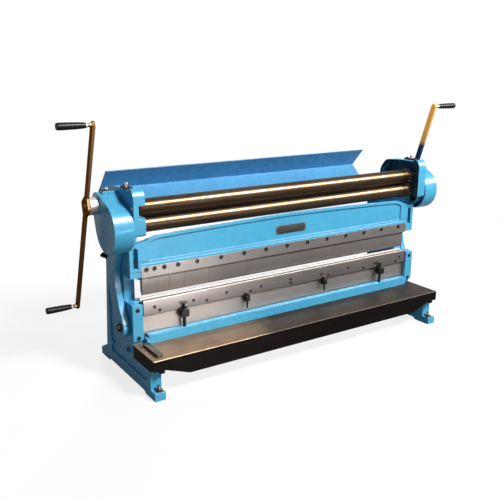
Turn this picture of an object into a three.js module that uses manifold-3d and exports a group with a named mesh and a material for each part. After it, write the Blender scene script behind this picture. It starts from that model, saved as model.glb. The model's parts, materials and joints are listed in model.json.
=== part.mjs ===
// A 52 inch three in one sheet metal machine: slip rolls on top, a finger brake in the middle and a shear
// at the table, all driven by cranks at both ends.
// Millimetres, +Z up, +X to the operator's right, +Y to the back. Inside the machine group X is zero half
// way between the side frames, Y is zero at the front of the feet and Z is zero at the floor. The group is
// moved at the end so that the origin is the middle of the whole part's box, on the floor.

import * as THREE from 'three';
import { mergeVertices } from 'three/addons/utils/BufferGeometryUtils.js';
import Module from 'manifold-3d';

const wasm = await Module();
wasm.setup();

// Driving dimensions
const fit = 0.3; // clearance between pieces that touch or run in each other
const overrun = 5; // how far a cutting shape runs past the face that it cuts
const innerX = 677; // half the clear width between the side frames
const frameThick = 43; // a side frame's thickness
const outerX = innerX + frameThick;
const workSide = 2; // from the ends of the beam, blades, die and bar to the side frames
const workHalf = innerX - workSide;
const tableTop = 156; // height of the work surface
const workFrontY = 180; // front face of the side frames, where the beam and keepers stand
const shearY = 184; // the plane in which the two blades meet
const brakeY = 198; // the plane in which the fingers meet the vee of the die
const rollY = 205; // the front pair of rolls
const lowerRollZ = 606;
const rollSpread = 65; // between the axes of the front pair, opened to its rest position
const rollRadius = 30;
const neckRadius = 16; // the lower roll's necks, which carry the gears
const upperNeckRadius = 13;
const upperRollZ = lowerRollZ + rollSpread;
const capSeatZ = 744; // flat on top of a roll housing, where the cap plate is screwed down
const housingPast = 2; // from the outer face of a side frame to that of its roll housing
const housingOuterX = outerX + housingPast;
const linkOut = 1; // from the housing to the link outside it
const linkThick = 24;
const linkInner = housingOuterX + linkOut;
const linkOuter = linkInner + linkThick;
const seatBelowRoll = 36;
const seatZ = lowerRollZ - seatBelowRoll; // where the roll housings stand on the side frames
const rollEndClear = { left: 3.7, right: 1 }; // from a roll's ends to the housings

// Gear train: crank pinions drive the bull gears on the lower roll
const gearModule = 4;
const pinionTeeth = 15;
const bullTeeth = 35;
const gearAngle = THREE.MathUtils.degToRad(47); // from the lower roll's axis up and back to the crank's
const gearCentres = (gearModule * (pinionTeeth + bullTeeth)) / 2;
const crankY = rollY + gearCentres * Math.cos(gearAngle);
const crankZ = lowerRollZ + gearCentres * Math.sin(gearAngle);
const pressureAngle = THREE.MathUtils.degToRad(25);
const backlash = 0.5;
const rollGearModule = 5; // deep teeth that stay in mesh while the rolls are opened
const rollGearTeeth = 12;
const rollGearBacklash = 1.2;

// Ram motion: the eccentrics on the lower roll lift the links and the ram
const eccentricThrow = 9;
const ramStroke = 2 * eccentricThrow;
const linkRock = 9; // how far the strap of a link may swing to each side
const pinY = 234;
const pinZ = 213;
const pinRadius = 14;

// Shapes are drawn in a plane and pushed along one axis. A side profile is drawn as (y, z).
const roundSteps = 10; // half the sides of a large round
const smallSteps = 6; // half the sides of a small round that something turns in
const holeSteps = 4; // half the sides of a screw hole
const cornerSteps = 3; // the sides of a rounded corner
const hexSteps = 3; // half the sides of a hexagon
const sideBasis = new THREE.Matrix4().makeBasis(
	new THREE.Vector3(0, 1, 0), new THREE.Vector3(0, 0, 1), new THREE.Vector3(1, 0, 0));
const frontBasis = new THREE.Matrix4().makeBasis(
	new THREE.Vector3(1, 0, 0), new THREE.Vector3(0, 0, 1), new THREE.Vector3(0, -1, 0));
const axleBasis = new THREE.Matrix4().makeBasis(
	new THREE.Vector3(0, 1, 0), new THREE.Vector3(1, 0, 0), new THREE.Vector3(0, 0, -1));

function solid(geometry) {
	geometry.deleteAttribute('normal');
	geometry.deleteAttribute('uv');
	const welded = mergeVertices(geometry);
	const corners = welded.index.array;
	const kept = [];
	for (let i = 0; i < corners.length; i += 3) {
		const [a, b, c] = [corners[i], corners[i + 1], corners[i + 2]];
		if (a !== b && b !== c && c !== a) kept.push(a, b, c);
	}
	return new wasm.Manifold(new wasm.Mesh({
		numProp: 3,
		vertProperties: new Float32Array(welded.attributes.position.array),
		triVerts: new Uint32Array(kept),
	}));
}

function push(shape, basis, start, length, steps) {
	const geometry = new THREE.ExtrudeGeometry(shape, {
		depth: length, bevelEnabled: false, curveSegments: steps,
	});
	geometry.applyMatrix4(basis);
	geometry.translate(...start);
	return solid(geometry);
}

const alongX = (shape, x0, x1, steps = cornerSteps) =>
	push(shape, sideBasis, [Math.min(x0, x1), 0, 0], Math.abs(x1 - x0), steps);
const alongY = (shape, y0, y1, steps = cornerSteps) =>
	push(shape, frontBasis, [0, y1, 0], y1 - y0, steps);
const alongZ = (shape, z0, z1, steps = cornerSteps) =>
	push(shape, new THREE.Matrix4(), [0, 0, z0], z1 - z0, steps);

function poly(points) {
	return new THREE.Shape(points.map(([a, b]) => new THREE.Vector2(a, b)));
}

function rect(a0, b0, a1, b1) {
	return poly([[a0, b0], [a1, b0], [a1, b1], [a0, b1]]);
}

function disc(radius, a, b) {
	return new THREE.Shape().absarc(a, b, radius, 0, 2 * Math.PI);
}

// A polygon whose corners are rounded by one radius
function rounded(points, radius) {
	const shape = new THREE.Shape();
	const corners = points.map(([a, b]) => new THREE.Vector2(a, b));
	corners.forEach((corner, i) => {
		const before = corners[(i + corners.length - 1) % corners.length];
		const after = corners[(i + 1) % corners.length];
		const near = (other) => {
			const leg = other.clone().sub(corner);
			const reach = Math.min(radius, leg.length() / 2);
			return corner.clone().addScaledVector(leg.normalize(), reach);
		};
		const [entry, exit] = [near(before), near(after)];
		if (i === 0) shape.moveTo(entry.x, entry.y);
		else shape.lineTo(entry.x, entry.y);
		shape.quadraticCurveTo(corner.x, corner.y, exit.x, exit.y);
	});
	return shape;
}

// The outline round two discs and their outer tangents
function belt(y1, z1, r1, y2, z2, r2) {
	const heading = Math.atan2(z2 - z1, y2 - y1);
	const lean = Math.acos((r1 - r2) / Math.hypot(y2 - y1, z2 - z1));
	const shape = new THREE.Shape();
	shape.absarc(y1, z1, r1, heading + lean, heading - lean + 2 * Math.PI);
	shape.absarc(y2, z2, r2, heading - lean, heading + lean);
	return shape;
}

const box = (x0, y0, z0, x1, y1, z1) => alongZ(rect(x0, y0, x1, y1), z0, z1);
const axle = (radius, y, z, x0, x1, steps = roundSteps) => alongX(disc(radius, y, z), x0, x1, steps);

// A turned piece on an axis along X: stations are [x, radius], closed on the axis at both ends
function turned(stations, y, z, sides) {
	const outline = [[stations[0][0], 0], ...stations, [stations.at(-1)[0], 0]];
	const geometry = new THREE.LatheGeometry(outline.map(([x, r]) => new THREE.Vector2(r, x)), sides);
	geometry.applyMatrix4(axleBasis);
	geometry.translate(0, y, z);
	return solid(geometry);
}

const joined = (first, ...others) => others.reduce((sum, next) => sum.add(next), first);
const cut = (first, ...others) => others.reduce((rest, next) => rest.subtract(next), first);
const mirrored = (body, side) => (side < 0 ? body.mirror([1, 0, 0]) : body);
const names = { [-1]: 'left', 1: 'right' };

// An involute spur gear about an axis along X, with one tooth centred on the angle phase
function gearOutline(teeth, module, slack, phase, y, z) {
	const pitch = (module * teeth) / 2;
	const base = pitch * Math.cos(pressureAngle);
	const rootDepthShare = 1.25;
	const root = pitch - rootDepthShare * module;
	const tip = pitch + module;
	const involute = (r) => Math.sqrt((r * r) / (base * base) - 1) - Math.acos(base / r);
	const halfAtPitch = Math.PI / (2 * teeth) - slack / (4 * pitch);
	const halfAt = (r) => halfAtPitch + involute(pitch) - involute(Math.max(r, base));
	const radii = [root, Math.max(pitch - module / 2, base), tip];
	const points = [];
	for (let i = 0; i < teeth; i += 1) {
		const middle = phase + (2 * Math.PI * i) / teeth;
		const place = (r, angle) => points.push([y + r * Math.cos(angle), z + r * Math.sin(angle)]);
		radii.forEach((r) => place(r, middle - halfAt(r)));
		[...radii].reverse().forEach((r) => place(r, middle + halfAt(r)));
	}
	return poly(points);
}

// Finishes
const paint = new THREE.MeshStandardMaterial({ color: 0x5bb0e2, roughness: 0.35, metalness: 0 });
const steel = new THREE.MeshStandardMaterial({ color: 0xb5aeaa, roughness: 0.4, metalness: 0.9 });
const polished = new THREE.MeshStandardMaterial({ color: 0xc8bba6, roughness: 0.15, metalness: 1 });
const machined = new THREE.MeshStandardMaterial({ color: 0x8f8378, roughness: 0.35, metalness: 0.9 });
const black = new THREE.MeshStandardMaterial({ color: 0x1c1a1b, roughness: 0.5, metalness: 0.4 });
const rubber = new THREE.MeshStandardMaterial({ color: 0x101012, roughness: 0.35, metalness: 0 });
const bronze = new THREE.MeshStandardMaterial({ color: 0xb08a4a, roughness: 0.35, metalness: 0.9 });

const machine = new THREE.Group();

function piece(name, body, material) {
	const made = body.getMesh();
	const geometry = new THREE.BufferGeometry();
	geometry.setAttribute('position', new THREE.BufferAttribute(made.vertProperties, 3));
	geometry.setIndex(new THREE.BufferAttribute(made.triVerts, 1));
	const mesh = new THREE.Mesh(geometry, material);
	mesh.name = name;
	machine.add(mesh);
}

// Side frames: one casting each, with feet, a step for the table, a throat and a ledge for the beam
const frame = {
	footTip: 0, footBack: 79, footHigh: 30, archStart: 92, archHigh: 9, archEnd: 418, heelStart: 430,
	heelEnd: 512, heelHigh: 29, ankleY: 447, ankleZ: 64, waistY: 428, waistZ: 259, backY: 412, shoulderZ: 421,
	columnY: 35, stepZ: 104, throatY: 245, throatLow: 312, ledgeLow: 412, ledgeHigh: 433, beamSeatY: 205,
	webDeep: 6, rimWide: 24, corner: 14, guideDeep: 20, guideBack: 245, guideLow: 262, anchorRadius: 9,
	anchorIn: 18, anchorFront: 18, anchorRear: 480,
};
const tie = { y: 388, z: 93, radius: 14 };
const boltHoleRadius = 6;
const boltHoles = [[tie.y, tie.z], [236, 117]]; // holes through the frame, at the tie rod and below the slot

function sideFrame(side) {
	const f = frame;
	const outline = poly([
		[f.footTip, 0], [f.footBack, 0], [f.archStart, f.archHigh], [f.archEnd, f.archHigh], [f.heelStart, 0],
		[f.heelEnd, 0], [f.heelEnd, f.heelHigh], [f.ankleY, f.ankleZ], [f.waistY, f.waistZ],
		[f.backY, f.shoulderZ], [f.backY, seatZ], [f.beamSeatY, seatZ], [f.beamSeatY, f.ledgeHigh],
		[workFrontY, f.ledgeHigh], [workFrontY, f.ledgeLow], [f.throatY, f.ledgeLow], [f.throatY, f.throatLow],
		[workFrontY, f.throatLow], [workFrontY, f.stepZ], [f.columnY, f.stepZ], [f.columnY, f.footHigh],
		[f.footTip, f.footHigh],
	]);
	const rim = f.rimWide;
	const web = rounded([
		[f.columnY + rim, f.footHigh + rim], [f.ankleY - 2 * rim, f.footHigh + rim], [f.waistY - rim, f.waistZ],
		[f.backY - rim, f.shoulderZ], [f.backY - rim, seatZ - 3 * rim], [f.throatY + 2 * rim, seatZ - 3 * rim],
		[f.throatY + 2 * rim, f.throatLow - rim], [pinY + 2 * rim, pinZ - 2 * rim],
		[f.columnY + rim, f.stepZ - rim / 2],
	], f.corner);
	const slotHalf = pinRadius + 2 * fit;
	const slot = rect(pinY - slotHalf, pinZ - slotHalf, pinY + slotHalf, pinZ + slotHalf + ramStroke);
	const guide = rect(ram.backY + fit, f.guideLow, f.guideBack, f.throatLow);
	const guideWay = rect(workFrontY - overrun, tongue.low - fit, tongue.back + fit, f.throatLow + overrun);
	const anchorX = innerX + f.anchorIn;
	const anchorHoles = [f.anchorFront, f.anchorRear].map((y) =>
		alongZ(disc(f.anchorRadius, anchorX, y), -overrun, f.ankleZ + overrun, holeSteps));
	const half = cut(
		joined(alongX(outline, innerX, outerX), alongX(guide, innerX - f.guideDeep, innerX + overrun)),
		alongX(web, outerX - f.webDeep, outerX + overrun),
		alongX(slot, innerX - overrun, outerX + overrun),
		alongX(guideWay, innerX - overrun, tongue.end + fit),
		...anchorHoles,
		...boltHoles.map(([y, z]) => axle(boltHoleRadius, y, z, innerX - overrun, outerX + overrun, holeSteps)));
	piece(`side_frame_${names[side]}`, mirrored(half, side), paint);
}

// Ram: a plate with a rear flange, and at each end a boss for the link's pin and a tongue in the guideway
const ram = {
	frontY: 190.3, backY: 212, bottomZ: 150, topZ: 290, flangeBack: 250, flangeHalf: 10, bossRadius: 26,
	bossLong: 36,
};
const tongue = { low: 192, top: 290, back: 205, end: 690 };
const pinHead = { washer: 19, washerThick: 2.5, hexagon: 13.5, thick: 8 };

function ramBody() {
	const length = innerX - fit;
	const flange = rect(
		ram.backY - overrun, pinZ - ram.flangeHalf, ram.flangeBack, pinZ + ram.flangeHalf);
	const ends = [-1, 1].flatMap((side) => [
		axle(ram.bossRadius, pinY, pinZ, side * (length - ram.bossLong), side * length),
		alongX(rect(workFrontY + fit, tongue.low, tongue.back, tongue.top),
			side * (workHalf + fit), side * tongue.end),
	]);
	const bores = [-1, 1].map((side) =>
		axle(pinRadius + fit, pinY, pinZ, side * (length - ram.bossLong - overrun), side * (length + overrun)));
	const body = joined(
		alongX(rect(ram.frontY, ram.bottomZ, ram.backY, ram.topZ), -length, length),
		alongX(flange, -length, length),
		...ends);
	piece('ram', cut(body, ...bores), steel);
}

// Bending die on the ram: a lip in front, a vee on top with a rounded front edge
const die = { frontY: 172, lipLow: 265, top: 323, vee: 11, edge: 7 };

function bendDie() {
	const back = ram.backY;
	const profile = new THREE.Shape();
	profile.moveTo(die.frontY, die.lipLow);
	profile.lineTo(ram.frontY - fit, die.lipLow);
	profile.lineTo(ram.frontY - fit, ram.topZ + fit);
	profile.lineTo(back, ram.topZ + fit);
	profile.lineTo(back, die.top);
	profile.lineTo(brakeY + die.vee, die.top);
	profile.lineTo(brakeY, die.top - die.vee);
	profile.lineTo(brakeY - die.vee, die.top);
	profile.lineTo(die.frontY + die.edge, die.top);
	profile.quadraticCurveTo(die.frontY, die.top, die.frontY, die.top - die.edge);
	const brackets = [
		...Object.values(plungerPlaces).map((x) => plungerBracket(x, 1, true)),
		...stopScrewPlaces.map((x) => plungerBracket(x, stopScrewShare, false)),
	];
	piece('bend_die', joined(alongX(profile, -workHalf, workHalf), ...brackets), steel);
}

// Blades: the upper one on the ram passes just behind the lower one on the table
const blade = { overlap: 4, lowerFront: 160, lowerHigh: 30 };

function blades() {
	const upper = rect(shearY + fit, tableTop - blade.overlap, ram.frontY - fit, die.lipLow - fit);
	piece('upper_blade', alongX(upper, -workHalf, workHalf), steel);
	const lower = rect(blade.lowerFront, tableTop - blade.lowerHigh, shearY, tableTop);
	piece('lower_blade', alongX(lower, -workHalf, workHalf), machined);
}

// Work table: a ribbed casting, open below, whose front skirt is deeper in the middle
const table = {
	plate: 16, skirt: 12, endLow: 115, bellyLow: 80, slopeOut: 11, slopeLong: 91, padIn: 23, padLong: 19,
	rail: 30, sideLow: 112, rib: 9, ribs: 6, seatFront: 42, chamfer: 2,
};

function workTable() {
	const t = table;
	const back = workFrontY - fit;
	const skirtTop = tableTop - t.plate + fit;
	const padOuter = outerX - t.padIn;
	const padInner = padOuter - t.padLong;
	const slopeOuter = padInner - t.slopeOut;
	const skirtLine = [
		[-outerX, t.endLow], [-padOuter, t.endLow], [-padOuter, frame.stepZ], [-padInner, frame.stepZ],
		[-padInner, t.endLow], [-slopeOuter, t.sideLow], [t.slopeLong - slopeOuter, t.bellyLow],
	];
	const front = poly([
		...skirtLine, ...skirtLine.map(([x, z]) => [-x, z]).reverse(), [outerX, skirtTop], [-outerX, skirtTop],
	]);
	const top = alongX(poly([
		[0, tableTop - t.plate], [back, tableTop - t.plate], [back, tableTop], [t.chamfer, tableTop],
		[0, tableTop - t.chamfer],
	]), -outerX, outerX);
	const sides = [-1, 1].map((side) => joined(
		alongX(rect(t.skirt - fit, t.sideLow, back, skirtTop), side * (outerX - t.skirt), side * outerX),
		alongX(rect(t.seatFront, frame.stepZ + fit, back, skirtTop), side * (innerX + fit), side * outerX)));
	const rail = alongX(rect(back - t.rail, frame.stepZ + fit, back, skirtTop), -outerX, outerX);
	const spacing = (2 * innerX) / (t.ribs + 1);
	const ribs = Array.from({ length: t.ribs }, (_, i) => {
		const x = -innerX + spacing * (i + 1);
		return alongX(rect(t.skirt - fit, t.sideLow, back - t.rail + fit, skirtTop), x - t.rib / 2, x + t.rib / 2);
	});
	const pocket = alongX(
		rect(blade.lowerFront - fit, tableTop - blade.lowerHigh - fit, back + overrun, tableTop + overrun),
		-workHalf - fit, workHalf + fit);
	piece('work_table', cut(joined(top, alongY(front, 0, t.skirt), rail, ...sides, ...ribs), pocket), machined);
}

// Squaring guide at the left end of the table
const guideBar = { left: -695, right: -672, front: 22, back: 145, high: 12, hole: 4, holeStep: 45, chamfer: 3 };

function squaringGuide() {
	const g = guideBar;
	const floor = tableTop + fit;
	const outline = poly([
		[g.left, g.front], [g.right - g.chamfer, g.front], [g.right, g.front + g.chamfer], [g.right, g.back],
		[g.left, g.back],
	]);
	const middle = (g.left + g.right) / 2;
	const holes = [-1, 1].map((end) => alongZ(
		disc(g.hole, middle, (g.front + g.back) / 2 + end * g.holeStep),
		floor - overrun, floor + g.high + overrun, holeSteps));
	piece('squaring_guide', cut(alongZ(outline, floor, floor + g.high), ...holes), machined);
}

// Hold down bar with a plunger at each end, which slides in a bracket on the die
const bar = { frontY: 154, backY: 178, high: 36.7, endDrop: 14, endLong: 9 };
const plunger = {
	y: 163, rod: 6.5, stem: 4.5, boss: 16, bossZ: 250, bossHalf: 15, crossHalf: 13, crossRadius: 4, crossZ: 289,
	hexThick: 7, stopLow: 212, tab: 8, tabThick: 3,
};
const plungerPlaces = { left: -511, right: 510 };
const stopScrewPlaces = [-223, 180]; // smaller screws that end above the bar
const stopScrewShare = 0.62;
const barTop = tableTop + fit + bar.high;

function holdDown() {
	const low = tableTop + fit;
	const body = alongX(rect(bar.frontY, low, bar.backY, barTop), -workHalf, workHalf);
	const notches = [-1, 1].map((side) => alongX(
		rect(bar.frontY - overrun, barTop - bar.endDrop, bar.backY + overrun, barTop + overrun),
		side * (workHalf - bar.endLong), side * (workHalf + overrun)));
	piece('hold_down_bar', cut(body, ...notches), paint);
	for (const [side, x] of Object.entries(plungerPlaces)) {
		piece(`plunger_${side}`, plungerScrew(x, 1, barTop + fit), black);
	}
}

// A screw with a cross handle on top, from its lower end up through a bracket
function plungerScrew(x, share, low) {
	const p = plunger;
	const crossZ = p.bossZ + (p.crossZ - p.bossZ) * share;
	const bossTop = p.bossZ + p.bossHalf * share;
	return joined(
		alongZ(disc(p.rod * share, x, p.y), low, bossTop, smallSteps),
		alongZ(disc(p.stem * share, x, p.y), bossTop - fit, crossZ, smallSteps),
		alongX(
			disc(p.crossRadius * share, p.y, crossZ), x - p.crossHalf * share, x + p.crossHalf * share, smallSteps));
}

// A bracket on the die's front: a square boss behind a hexagon, round the screw
function plungerBracket(x, share, bored) {
	const p = plunger;
	const half = p.bossHalf * share;
	const hexagon = Array.from({ length: 6 }, (_, i) => {
		const angle = (Math.PI * i) / 3;
		return [x + p.boss * share * Math.cos(angle), p.bossZ + p.boss * share * Math.sin(angle)];
	});
	const frontY = p.y - (p.rod + p.hexThick) * share;
	const body = joined(
		alongY(poly(hexagon), frontY, die.frontY),
		alongY(rect(x - half, p.bossZ - half, x + half, die.lipLow - fit), frontY + fit, shearY),
		alongY(rect(x - half, p.bossZ, x + half, die.lipLow + p.tab), die.frontY - p.tabThick, die.frontY + fit));
	if (!bored) return joined(body, plungerScrew(x, share, p.stopLow));
	return cut(body, alongZ(disc(p.rod * share + fit, x, p.y), p.bossZ - p.boss - overrun,
		p.bossZ + p.boss + overrun, smallSteps));
}

// Finger beam: a cast plate with an arched top, a sunk panel, slotted end lugs and a rear leg for the fingers
const beam = {
	bottom: 451, thick: 24, lugTop: 538, lugLow: 435, crownClear: 2.25, shoulderX: 604, shoulderDrop: 14,
	neckX: 650, neckDrop: 30, rimWide: 12, panelDeep: 6, panelEnd: 640, bandHigh: 10, bandDeep: 3,
	slotIn: 9, slotWide: 19, slotLow: 447, slotTop: 525, legFront: 206.3, legBack: 228, legLow: 396,
	legTop: 516, quarterX: 300, quarterDrop: 3, topThick: 9, rollWayDrop: 26,
};
const beamTopBack = workFrontY + beam.topThick;
const crownZ = lowerRollZ - Math.sqrt((rollRadius + beam.crownClear) ** 2 - (rollY - beamTopBack) ** 2);

function arch(top, endX, lower) {
	// the upper edge from the right shoulder over the crown to the left one, lowered by the rim's width
	const b = beam;
	const shoulderZ = crownZ - b.shoulderDrop - lower;
	const quarterZ = crownZ - b.quarterDrop - lower;
	const neckZ = crownZ - b.neckDrop - lower;
	top.lineTo(endX, neckZ);
	const shoulderX = b.shoulderX - (b.neckX - endX);
	const bendX = endX - (b.neckX - b.shoulderX) / 2;
	top.quadraticCurveTo(bendX, shoulderZ, shoulderX, shoulderZ);
	top.quadraticCurveTo(b.quarterX, quarterZ, 0, crownZ - lower);
	top.quadraticCurveTo(-b.quarterX, quarterZ, -shoulderX, shoulderZ);
	top.quadraticCurveTo(-bendX, shoulderZ, -endX, neckZ);
}

function fingerBeam() {
	const b = beam;
	const back = workFrontY + b.thick;
	const outline = new THREE.Shape();
	outline.moveTo(-workHalf, b.bottom);
	outline.lineTo(workHalf, b.bottom);
	outline.lineTo(workHalf, b.lugLow);
	outline.lineTo(outerX - fit, b.lugLow);
	outline.lineTo(outerX - fit, b.lugTop - b.rimWide);
	outline.quadraticCurveTo(outerX - fit, b.lugTop, outerX - b.rimWide, b.lugTop);
	arch(outline, b.neckX, 0);
	outline.lineTo(b.rimWide - outerX, b.lugTop);
	outline.quadraticCurveTo(fit - outerX, b.lugTop, fit - outerX, b.lugTop - b.rimWide);
	outline.lineTo(fit - outerX, b.lugLow);
	outline.lineTo(-workHalf, b.lugLow);
	const panel = new THREE.Shape();
	panel.moveTo(-b.panelEnd, b.bottom + 2 * b.bandHigh);
	panel.lineTo(b.panelEnd, b.bottom + 2 * b.bandHigh);
	arch(panel, b.panelEnd, b.rimWide);
	const slots = [-1, 1].map((side) => {
		const half = b.slotWide / 2;
		const middle = side * (innerX + b.slotIn + half);
		const slot = new THREE.Shape();
		slot.moveTo(middle - half, b.slotLow);
		slot.lineTo(middle + half, b.slotLow);
		slot.absarc(middle, b.slotTop - half, half, 0, Math.PI);
		return alongY(slot, workFrontY - overrun, back + overrun, smallSteps);
	});
	const bandTop = b.bottom + 2 * b.bandHigh + fit;
	const band = box(
		-workHalf, workFrontY - overrun, b.bottom + b.bandHigh,
		workHalf, workFrontY + b.bandDeep, bandTop);
	const leg = joined(
		alongX(rect(b.legFront, b.legLow, b.legBack, b.legTop), fit - innerX, innerX - fit),
		alongX(rect(back - fit, b.bottom + b.bandHigh / 2, b.legFront + fit, b.legTop), fit - innerX, innerX - fit));
	const rollWay = box(
		-b.neckX, beamTopBack, crownZ - b.rollWayDrop, b.neckX, back + overrun, crownZ + overrun);
	const plate = cut(
		alongY(outline, workFrontY, back, smallSteps),
		alongY(panel, workFrontY - overrun, workFrontY + b.panelDeep, smallSteps),
		band, rollWay, ...slots);
	piece('finger_beam', joined(plate, leg), paint);
}

// Fingers of stepped widths, under a strip with counterbored screw holes
const finger = { thick: 16, tip: 337, bevel: 15, flat: 0.8, side: 0.4 };
const fingerEnds = [-671, -646, -609, -558, -494, -387, -210, 26, 348, 671];
const strip = { low: 409, boreRadius: 7.5, boreDeep: 7 };
const screwPlaces = [-655, -622, -582, -524, -442, -335, -228, -121, -14, 93, 200, 307, 414, 521, 629];
const screwZ = 439;

function fingers() {
	const front = brakeY - finger.thick / 2;
	const back = brakeY + finger.thick / 2;
	const top = beam.bottom - fit;
	const profile = poly([
		[front, top], [front, finger.tip + finger.bevel], [brakeY - finger.flat, finger.tip],
		[brakeY + finger.flat, finger.tip], [back, finger.tip + finger.bevel], [back, top],
	]);
	for (let i = 0; i + 1 < fingerEnds.length; i += 1) {
		const ends = [fingerEnds[i] + finger.side / 2, fingerEnds[i + 1] - finger.side / 2];
		piece(`finger_${i + 1}`, alongX(profile, ...ends), steel);
	}
	const bores = screwPlaces.map((x) =>
		alongY(disc(strip.boreRadius, x, screwZ), workFrontY - overrun, workFrontY + strip.boreDeep, holeSteps));
	const body = alongX(rect(workFrontY, strip.low, front - fit, top), -workHalf, workHalf);
	piece('finger_clamp_strip', cut(body, ...bores), steel);
}

// Keepers in front of the side frames, with counterbored holes for two screws each
const keeper = { in: 3, past: 2, thick: 12, low: 172, corner: 5, boltIn: 20, boreDeep: 8 };
const keeperHigh = frame.throatLow;
const keeperBoltZ = [keeper.low + keeper.boltIn / 2, keeperHigh - keeper.boltIn];

function keepers() {
	const k = keeper;
	const front = workFrontY - fit - k.thick;
	const [inner, outer] = [innerX + k.in, outerX + k.past];
	for (const side of [-1, 1]) {
		const shape = rounded([[inner, k.low], [outer, k.low], [outer, keeperHigh], [inner, keeperHigh]], k.corner);
		const bores = keeperBoltZ.map((z) => alongY(disc(strip.boreRadius, (inner + outer) / 2, z),
			front - overrun, front + k.boreDeep, holeSteps));
		const body = cut(alongY(shape, front, workFrontY - fit), ...bores);
		piece(`ram_keeper_${names[side]}`, mirrored(body, side), paint);
	}
}

// Roll housings: hollow castings, open on the inside, with slots in the outer wall for the bearing blocks
const housing = {
	frontY: 120, frontLow: 580, frontHigh: 727, browY: 138, browBack: 150, crest: 8, topBack: 243, slopeY: 334,
	slopeZ: 735, backY: 369, backHigh: 690, backZ: 660, heelY: 352, corner: 16, rim: 15, recess: 26,
	notchLow: 647, notchHigh: 693, notchDeep: 25, skin: 4,
};
const wallX = innerX + housing.recess; // inner face of the outer wall
const slotOuterX = housingOuterX - housing.skin; // where the slots for the bearing blocks end
const block = { wide: 40, high: 46, rearWide: 36, rearLong: 40, side: 1 };
const rearRoll = { y: 283, z: 622, angle: THREE.MathUtils.degToRad(170), travel: 15, neck: 12 };
const upperDrop = 4.5; // how far the upper roll can be closed
const crankShaftRadius = 12;
const screwRod = 5;
const screwPlaneX = (wallX + slotOuterX) / 2;
const rearLine = new THREE.Vector3(0, -Math.cos(rearRoll.angle), -Math.sin(rearRoll.angle)); // points back

// A shape drawn along Y, turned to run along another direction from a point
function onLine(geometry, direction, from) {
	const turn = new THREE.Quaternion().setFromUnitVectors(new THREE.Vector3(0, 1, 0), direction);
	return solid(geometry.applyQuaternion(turn).translate(...from));
}

// A rectangle about the rear roll's axis, along the line on which that roll is set
function rearRect(from, to, half) {
	const [cos, sin] = [Math.cos(rearRoll.angle), Math.sin(rearRoll.angle)];
	const at = (along, across) => [
		rearRoll.y + along * cos - across * sin, rearRoll.z + along * sin + across * cos,
	];
	return poly([at(from, -half), at(to, -half), at(to, half), at(from, half)]);
}

function rollHousing(side) {
	const h = housing;
	const outline = rounded([
		[h.frontY, h.frontLow], [h.frontY, h.frontHigh], [h.browY, capSeatZ + h.crest],
		[h.browBack, capSeatZ + h.crest], [h.browBack + h.crest, capSeatZ], [h.topBack, capSeatZ],
		[h.slopeY, h.slopeZ], [h.backY, h.backHigh], [h.backY, h.backZ], [h.heelY, seatZ + fit],
		[frame.beamSeatY, seatZ + fit], [frame.beamSeatY, h.frontLow],
	].reverse(), h.corner);
	const upperSlot = rect(rollY - block.wide / 2 - fit, upperRollZ - block.high / 2 - upperDrop - fit,
		rollY + block.wide / 2 + fit, capSeatZ + overrun);
	const rearSlot = rearRect(
		-block.rearLong / 2 - fit, block.rearLong / 2 + rearRoll.travel + fit, block.rearWide / 2 + fit);
	const rearScrewBore = onLine(
		new THREE.CylinderGeometry(screwRod + fit, screwRod + fit, rearScrew.bore, 2 * smallSteps)
			.translate(0, rearScrew.bore / 2, 0),
		rearLine, new THREE.Vector3(screwPlaneX, rearRoll.y, rearRoll.z));
	const inWall = (shape) => alongX(shape, wallX - overrun, slotOuterX);
	let body = cut(
		alongX(outline, innerX, housingOuterX), inWall(upperSlot), inWall(rearSlot), rearScrewBore,
		axle(neckRadius + fit, rollY, lowerRollZ, innerX - overrun, housingOuterX + overrun),
		axle(crankShaftRadius + fit, crankY, crankZ, wallX - overrun, housingOuterX + overrun));
	if (side > 0) {
		const inset = h.rim;
		const hollow = rounded([
			[h.frontY + inset, seatZ - overrun], [h.frontY + inset, h.frontHigh - inset / 2],
			[h.browY + inset / 2, capSeatZ - inset / 2], [h.topBack, capSeatZ - inset / 2],
			[h.slopeY - inset / 2, h.slopeZ - inset], [h.backY - inset, h.backHigh - inset / 2],
			[h.backY - inset, h.backZ], [h.heelY - inset, seatZ + inset], [frame.beamSeatY + 3 * inset, seatZ + inset],
			[frame.beamSeatY + 2 * inset, seatZ - overrun],
		].reverse(), h.rim / 2);
		body = cut(body, alongX(hollow, innerX - overrun, wallX));
	} else {
		const notch = rect(h.frontY - overrun, h.notchLow, rollY + block.wide / 2 + fit, h.notchHigh);
		const neckHalf = rearRoll.neck + 2 * fit;
		const neckWay = rearRect(-neckHalf, neckHalf + rearRoll.travel, neckHalf);
		const upperWay = rect(rollY - block.wide / 2, h.notchLow, rollY + block.wide / 2, h.notchHigh);
		body = cut(body,
			alongX(notch, innerX - overrun, innerX + h.notchDeep),
			alongX(neckWay, innerX - overrun, wallX + overrun),
			alongX(upperWay, innerX, wallX + overrun));
	}
	piece(`roll_housing_${names[side]}`, mirrored(body, side), paint);
}

// Adjusting screws: upper ones stand in cap plates, rear ones point back
const cap = { wide: 60, edge: 1, long: 24, thick: 7, screwHigh: 20, head: 6, headHigh: 7 };
const rearScrew = { bore: 120, knob: 14, knobStart: 108, knobLong: 18 };

// A screw with a head at its far end
function screwAt(name, from, direction, length, headRadius, headLong) {
	const shank = new THREE.CylinderGeometry(screwRod, screwRod, length, 2 * smallSteps)
		.translate(0, length / 2, 0);
	const head = new THREE.CylinderGeometry(headRadius, headRadius, headLong, 2 * smallSteps)
		.translate(0, length - headLong / 2, 0);
	piece(name, joined(onLine(shank, direction, from), onLine(head, direction, from)), machined);
}

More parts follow.
